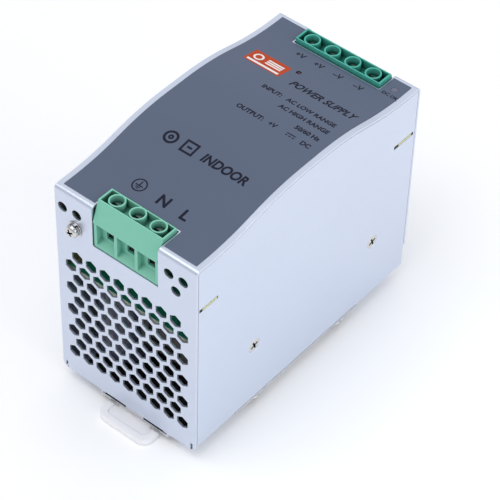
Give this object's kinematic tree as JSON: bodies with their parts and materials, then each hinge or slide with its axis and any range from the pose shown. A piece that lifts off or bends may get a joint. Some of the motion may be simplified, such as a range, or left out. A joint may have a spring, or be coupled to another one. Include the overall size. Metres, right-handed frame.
{
  "type": "din rail power supply",
  "caption": "Box-shaped power supply for a 35 mm rail: sheet steel case with a curved front, vented ends, two rows of screw terminals and a sprung rail latch.",
  "frame": {"origin": "on the plane that rests on the mounting rail, at the rail's centre line and the middle of the case's width", "axes": "+Z out of the printed front, -Y towards the input end and the latch, +Y towards the output end, +X towards the side with no range switch"},
  "size_m": [0.0654, 0.1332, 0.1054],
  "materials": {
    "case_steel": "satin plated sheet",
    "label_print": "satin printed film",
    "yellow_zinc": "yellow passivated sheet",
    "clip_steel": "bright zinc",
    "nickel": "nickel plated",
    "latch_nylon": "translucent nylon",
    "spring_steel": "spring steel",
    "circuit_board": "solder mask",
    "tinned_copper": "tinned",
    "insulation": "thin sheet",
    "sink_aluminium": "mill finish",
    "can_sleeve": "shrunk sleeve",
    "ferrite": "sintered",
    "copper_wire": "enamelled wire",
    "winding_tape": "polyester tape",
    "bobbin_black": "moulded and taped",
    "box_capacitor": "moulded box",
    "fuse_glass": "glass tube",
    "thermistor_disc": "dipped",
    "black_epoxy": "moulded",
    "lamp_lens": "tinted lens",
    "trimmer_blue": "moulded",
    "trimmer_red": "moulded",
    "switch_black": "moulded",
    "switch_red": "moulded",
    "terminal_mint": "moulded",
    "terminal_green": "moulded",
    "contact_brass": "tinned brass",
    "clamp_steel": "zinc plated"
  },
  "bodies": {
    "case": {"bridge_rectifier": "black_epoxy", "bulk_capacitors": "can_sleeve", "chassis": "case_steel", "choke_core": "ferrite", "choke_winding": "bobbin_black", "clip_screws": "nickel", "control_chips": "black_epoxy", "earth_nut": "nickel", "earth_screw": "nickel", "earth_washers": "nickel", "filter_capacitor": "box_capacitor", "front_cover": "case_steel", "fuse": "fuse_glass", "indicator_led": "lamp_lens", "inductor_core": "ferrite", "inductor_winding": "copper_wire", "input_board": "circuit_board", "input_contacts": "contact_brass", "input_risers": "tinned_copper", "input_shelf": "yellow_zinc", "input_terminal_block": "terminal_mint", "insulation_sheet": "insulation", "label_film": "label_print", "latch_spring": "spring_steel", "left_heat_sink": "sink_aluminium", "main_board": "circuit_board", "output_board": "circuit_board", "output_capacitors": "can_sleeve", "output_contacts": "contact_brass", "output_diodes": "black_epoxy", "output_risers": "tinned_copper", "output_shelf": "yellow_zinc", "output_terminal_block": "terminal_green", "rail_clip": "clip_steel", "range_switch_body": "switch_black", "right_heat_sink": "sink_aluminium", "side_screws": "nickel", "switching_transistors": "black_epoxy", "thermistor": "thermistor_disc", "transformer_bobbin": "bobbin_black", "transformer_core": "ferrite", "transformer_winding": "winding_tape", "trimmer_body": "trimmer_blue"},
    "latch": {"latch": "latch_nylon"},
    "trimmer_shaft": {"trimmer_shaft": "trimmer_red"},
    "range_switch_knob": {"range_switch_knob": "switch_red"},
    "input_cage_1": {"input_cage_1": "clamp_steel"},
    "input_cage_2": {"input_cage_2": "clamp_steel"},
    "input_cage_3": {"input_cage_3": "clamp_steel"},
    "input_screw_1": {"input_screw_1": "clamp_steel"},
    "input_screw_2": {"input_screw_2": "clamp_steel"},
    "input_screw_3": {"input_screw_3": "clamp_steel"},
    "output_cage_1": {"output_cage_1": "clamp_steel"},
    "output_cage_2": {"output_cage_2": "clamp_steel"},
    "output_cage_3": {"output_cage_3": "clamp_steel"},
    "output_cage_4": {"output_cage_4": "clamp_steel"},
    "output_screw_1": {"output_screw_1": "clamp_steel"},
    "output_screw_2": {"output_screw_2": "clamp_steel"},
    "output_screw_3": {"output_screw_3": "clamp_steel"},
    "output_screw_4": {"output_screw_4": "clamp_steel"}
  },
  "joints": [
    {"name": "latch_pull", "type": "slide", "parent": "case", "child": "latch", "axis": [0, -1, 0], "range_m": [0, 0.005], "stiffness_N_per_m": 500, "springref_m": -0.004, "deforming": ["latch_spring"]},
    {"name": "input_screw_1_turn", "type": "hinge", "parent": "case", "child": "input_screw_1", "pos_m": [-0.0095, -0.0535, 0.0962], "axis": [0, 0, -1], "range_deg": [0, 2160]},
    {"name": "input_cage_1_lift", "type": "slide", "parent": "case", "child": "input_cage_1", "axis": [0, 0, 1], "range_m": [0, 0.003]},
    {"name": "input_screw_2_turn", "type": "hinge", "parent": "case", "child": "input_screw_2", "pos_m": [0, -0.0535, 0.0962], "axis": [0, 0, -1], "range_deg": [0, 2160]},
    {"name": "input_cage_2_lift", "type": "slide", "parent": "case", "child": "input_cage_2", "axis": [0, 0, 1], "range_m": [0, 0.003]},
    {"name": "input_screw_3_turn", "type": "hinge", "parent": "case", "child": "input_screw_3", "pos_m": [0.0095, -0.0535, 0.0962], "axis": [0, 0, -1], "range_deg": [0, 2160]},
    {"name": "input_cage_3_lift", "type": "slide", "parent": "case", "child": "input_cage_3", "axis": [0, 0, 1], "range_m": [0, 0.003]},
    {"name": "output_screw_1_turn", "type": "hinge", "parent": "case", "child": "output_screw_1", "pos_m": [-0.0124, 0.0575, 0.0962], "axis": [0, 0, -1], "range_deg": [0, 2160]},
    {"name": "output_cage_1_lift", "type": "slide", "parent": "case", "child": "output_cage_1", "axis": [0, 0, 1], "range_m": [0, 0.003]},
    {"name": "output_screw_2_turn", "type": "hinge", "parent": "case", "child": "output_screw_2", "pos_m": [-0.0029, 0.0575, 0.0962], "axis": [0, 0, -1], "range_deg": [0, 2160]},
    {"name": "output_cage_2_lift", "type": "slide", "parent": "case", "child": "output_cage_2", "axis": [0, 0, 1], "range_m": [0, 0.003]},
    {"name": "output_screw_3_turn", "type": "hinge", "parent": "case", "child": "output_screw_3", "pos_m": [0.0066, 0.0575, 0.0962], "axis": [0, 0, -1], "range_deg": [0, 2160]},
    {"name": "output_cage_3_lift", "type": "slide", "parent": "case", "child": "output_cage_3", "axis": [0, 0, 1], "range_m": [0, 0.003]},
    {"name": "output_screw_4_turn", "type": "hinge", "parent": "case", "child": "output_screw_4", "pos_m": [0.0161, 0.0575, 0.0962], "axis": [0, 0, -1], "range_deg": [0, 2160]},
    {"name": "output_cage_4_lift", "type": "slide", "parent": "case", "child": "output_cage_4", "axis": [0, 0, 1], "range_m": [0, 0.003]},
    {"name": "trimmer_turn", "type": "hinge", "parent": "case", "child": "trimmer_shaft", "pos_m": [-0.0046, 0.0397, 0.0868], "axis": [0, 0, 1], "range_deg": [-130, 130]},
    {"name": "range_select", "type": "slide", "parent": "case", "child": "range_switch_knob", "axis": [0, 1, 0], "range_m": [0, 0.004]}
  ],
  "couplings": [
    {"joint": "input_screw_1_turn", "follows": "input_cage_1_lift", "rad_per_m": 12566},
    {"joint": "input_screw_2_turn", "follows": "input_cage_2_lift", "rad_per_m": 12566},
    {"joint": "input_screw_3_turn", "follows": "input_cage_3_lift", "rad_per_m": 12566},
    {"joint": "output_screw_1_turn", "follows": "output_cage_1_lift", "rad_per_m": 12566},
    {"joint": "output_screw_2_turn", "follows": "output_cage_2_lift", "rad_per_m": 12566},
    {"joint": "output_screw_3_turn", "follows": "output_cage_3_lift", "rad_per_m": 12566},
    {"joint": "output_screw_4_turn", "follows": "output_cage_4_lift", "rad_per_m": 12566}
  ]
}
